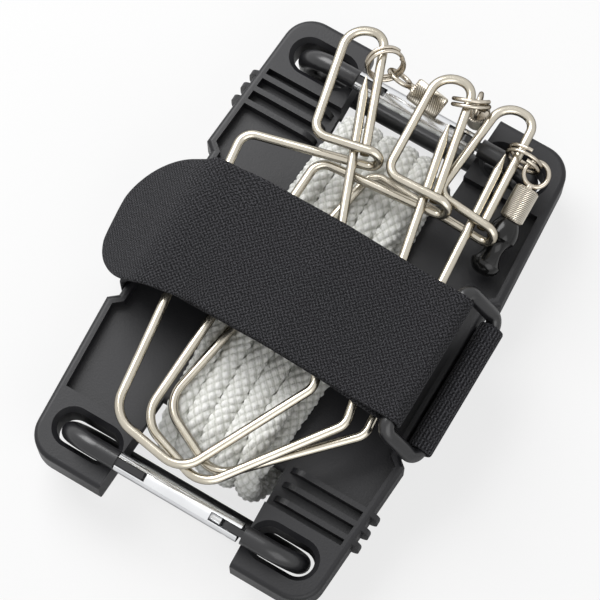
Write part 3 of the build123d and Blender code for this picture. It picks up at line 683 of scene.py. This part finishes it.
# %% Hook pad
PATCH_THICKNESS = 0.6 * MM
PAD_STEP = 0.5 * MM
patch_low, patch_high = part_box("hook_patch")
pad_line, pad_along = evenly(np.array([
    (patch_high[0], STRAP_MIDDLE_Y, patch_high[2] - PATCH_THICKNESS / 2),
    (patch_low[0], STRAP_MIDDLE_Y, patch_low[2] + PATCH_THICKNESS / 2),
]), PAD_STEP)
hook_finish = patterned(
    "hook_bristle", weave_group, {"Along": 900.0, "Across": 900.0, "Fuzz": 0.9},
    (0.008, 0.008, 0.009), (0.05, 0.05, 0.052), *MASK_AND_HEIGHT, (0.5, 0.8), (1.0, 0.0005),
)
pad_width = float(patch_high[1] - patch_low[1])
pad_points, pad_uv = strap_points(pad_line, pad_along, pad_width, PATCH_THICKNESS)
pad = grid_piece("hook_pad", pad_points, pad_uv, "strap_end", hook_finish)
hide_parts("hook_patch")

# %% [markdown]
# Each swivel barrel is a small turned sleeve with a slanting knurl for the fingers. It is a profile
# carried round the barrel's axis. The profile starts at the back of the little chamber that holds the
# head of the eye's stem, comes out through the hole and goes round the outside to the far end. The
# grip is coloured darker in its fine grooves than on its ridges, which is painted shade, and its ends
# are left plain.

# %% Knurled barrels
BARREL_RADIUS = 4.0 * MM
BARREL_LENGTH = 11.5 * MM
BARREL_START = 5.1 * MM
BARREL_CHAMFER = 0.6 * MM
HOLE_RADIUS = 1.28 * MM
CHAMBER_RADIUS = 2.38 * MM
CHAMBER_START = 1.6 * MM
CHAMBER_END = 3.36 * MM
POLE_RADIUS = 0.05 * MM
KNURL_STARTS = 32
KNURL_LEAD = 30.0 * MM
KNURL_DEPTH = 0.24 * MM
BARREL_SIDES = 256
GRIP_POINTS = 48
CREASE = math.radians(40.0)
BARREL_GIRTH = 2 * math.pi * BARREL_RADIUS
OFF_AXIS = (0.3, 0.5, 0.81)
swivels = {
    "left": ((-8.481, 73.832, 42.479), (0.98034, -0.10004, -0.17006)),
    "middle": ((16.649, 80.180, 37.108), (0.0, 0.12033, -0.99273)),
    "right": ((43.707, 70.080, 35.560), (0.0, -0.96506, -0.26202)),
}


def zigzag(turns):
    """A wave of straight slopes from 0 up to 1 and back, once for each whole turn."""
    return 1 - np.abs(2 * (turns % 1.0) - 1)


def barrel_points(eye, axis):
    """A profile of (distance along, radius) turned round the axis, with ridges that climb a helix."""
    grip = np.linspace(BARREL_CHAMFER, BARREL_LENGTH - BARREL_CHAMFER, GRIP_POINTS)
    profile = np.concatenate([
        [(CHAMBER_END, POLE_RADIUS), (CHAMBER_END, CHAMBER_RADIUS), (CHAMBER_START, CHAMBER_RADIUS)],
        [(CHAMBER_START, HOLE_RADIUS), (0.0, HOLE_RADIUS), (0.0, BARREL_RADIUS - BARREL_CHAMFER)],
        np.stack([grip, np.full(len(grip), BARREL_RADIUS)], axis=1),
        [(BARREL_LENGTH, BARREL_RADIUS - BARREL_CHAMFER), (BARREL_LENGTH, POLE_RADIUS)],
    ])
    along, radius = profile[:, 0][:, None], profile[:, 1][:, None]
    column = np.arange(BARREL_SIDES)[None, :] / BARREL_SIDES
    groove = 1 - zigzag(KNURL_STARTS * column)
    radius = radius - np.where(radius == BARREL_RADIUS, KNURL_DEPTH * groove, 0.0)
    axis = unit(np.array(axis))
    first = unit(np.cross(axis, OFF_AXIS))
    second = np.cross(axis, first)
    angle = 2 * np.pi * (column + along / KNURL_LEAD)
    ring = first * np.cos(angle)[..., None] + second * np.sin(angle)[..., None]
    start = np.array(eye) * MM + axis * BARREL_START
    return start + axis * along[..., None] + ring * radius[..., None], profile


def make_knurl_group():
    """A wave round the barrel on the UV map, once for each ridge: 1 on its crest and 0 in the groove."""
    group, incoming, outgoing = new_group("knurl_ridges", [("Across", 1000.0)], ["Ridge"])
    _, _, offset = uv_distances(group)
    across = math_node(group, "MULTIPLY", offset, incoming.outputs["Across"])
    wave = math_node(group, "COSINE", math_node(group, "MULTIPLY", across, 2 * math.pi))
    ridge = math_node(group, "SUBTRACT", 0.5, math_node(group, "MULTIPLY", wave, 0.5))
    group.links.new(ridge, outgoing.inputs["Ridge"])
    return group


# The dark colour in the knurl's grooves is painted shade; the ridges keep the nickel's own colour.
knurl_finish_painted_groove_shade = patterned(
    "knurled_nickel_painted_groove_shade", make_knurl_group(), {"Across": KNURL_STARTS / BARREL_GIRTH},
    (0.17, 0.15, 0.12), (0.70, 0.66, 0.58), "Ridge", "Ridge", (0.40, 0.26), (0.2, 0.0001), metallic=1.0,
)
for side, (eye, axis) in swivels.items():
    points, profile = barrel_points(eye, axis)
    barrel_uv = tube_uv(distance_along(profile), BARREL_SIDES, BARREL_GIRTH)
    barrel = grid_piece(
        f"knurled_barrel_{side}", points, barrel_uv, f"{side}_swivel", knurl_finish_painted_groove_shade,
    )
    on_grip = profile[:, 1] == BARREL_RADIUS
    is_plain = np.append(np.repeat(~(on_grip[:-1] & on_grip[1:]), BARREL_SIDES), (True, True))
    barrel.data.materials.append(bright_nickel_finish)
    barrel.data.polygons.foreach_set("material_index", is_plain.astype(np.int32))
    barrel.data.set_sharp_from_angle(angle=CREASE)
    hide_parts(f"swivel_barrel_{side}")

# %% [markdown]
# A catalogue picture has a white ground and soft light from large panels. The floor shows itself
# nearly white to the camera and still takes a soft shadow, which sets the piece down.

# %% Floor and light
FLOOR_HALF = 2.0
FLOOR_DROP = 0.2 * MM
FLOOR_GLOW = 0.75
FLOOR_GREY = (0.86, 0.86, 0.86, 1.0)
WHITE = (1.0, 1.0, 1.0, 1.0)
ROOM_LIGHT, BACKDROP_LIGHT = 0.16, 1.0

floor_height = cad_box[0][2] - FLOOR_DROP
floor_signs = ((-1, -1), (1, -1), (1, 1), (-1, 1))
floor_corners = [(x * FLOOR_HALF, y * FLOOR_HALF, floor_height) for x, y in floor_signs]
floor_mesh = bpy.data.meshes.new("floor")
floor_mesh.from_pydata(floor_corners, [], [(0, 1, 2, 3)])
floor = bpy.data.objects.new("floor", floor_mesh)
bpy.context.scene.collection.objects.link(floor)
floor_paint = bpy.data.materials.new("floor_paint")
floor_paint.use_nodes = True
tree = floor_paint.node_tree
paint = tree.nodes["Principled BSDF"]
paint.inputs["Base Color"].default_value = FLOOR_GREY
paint.inputs["Roughness"].default_value = 0.9
paint.inputs["Specular IOR Level"].default_value = 0.0
glow = tree.nodes.new("ShaderNodeEmission")
glow.inputs["Color"].default_value = WHITE
sight = tree.nodes.new("ShaderNodeLightPath")
both = tree.nodes.new("ShaderNodeMixShader")
share = math_node(tree, "MULTIPLY", sight.outputs["Is Camera Ray"], FLOOR_GLOW)
tree.links.new(share, both.inputs["Fac"])
tree.links.new(paint.outputs["BSDF"], both.inputs[1])
tree.links.new(glow.outputs["Emission"], both.inputs[2])
tree.links.new(both.outputs["Shader"], tree.nodes["Material Output"].inputs["Surface"])
floor_mesh.materials.append(floor_paint)

world = bpy.data.worlds.new("studio")
bpy.context.scene.world = world
world.use_nodes = True
tree = world.node_tree
background = tree.nodes["Background"]
background.inputs["Color"].default_value = WHITE
sight = tree.nodes.new("ShaderNodeLightPath")
seen = math_node(tree, "MAXIMUM", sight.outputs["Is Camera Ray"], sight.outputs["Is Glossy Ray"])
seen = math_node(tree, "MAXIMUM", seen, sight.outputs["Is Transmission Ray"])
strength = tree.nodes.new("ShaderNodeMapRange")
strength.inputs["To Min"].default_value = ROOM_LIGHT
strength.inputs["To Max"].default_value = BACKDROP_LIGHT
tree.links.new(seen, strength.inputs["Value"])
tree.links.new(strength.outputs["Result"], background.inputs["Strength"])


def panel(name, place, size, power):
    """A square light panel at a place, facing the object's middle."""
    light = bpy.data.lights.new(name, "AREA")
    light.size = size
    light.energy = power
    lamp = bpy.data.objects.new(name, light)
    lamp.location = place
    aim = unit(VIEW_TARGET - np.array(place))
    lamp.rotation_euler = (math.acos(-aim[2]), 0.0, math.atan2(aim[1], aim[0]) - math.pi / 2)
    bpy.context.scene.collection.objects.link(lamp)


panel("key_panel", (-0.55, 0.30, 0.75), size=0.7, power=10.0)
panel("fill_panel", (0.60, -0.45, 0.60), size=0.8, power=3.0)
print("floor, world and 2 light panels")
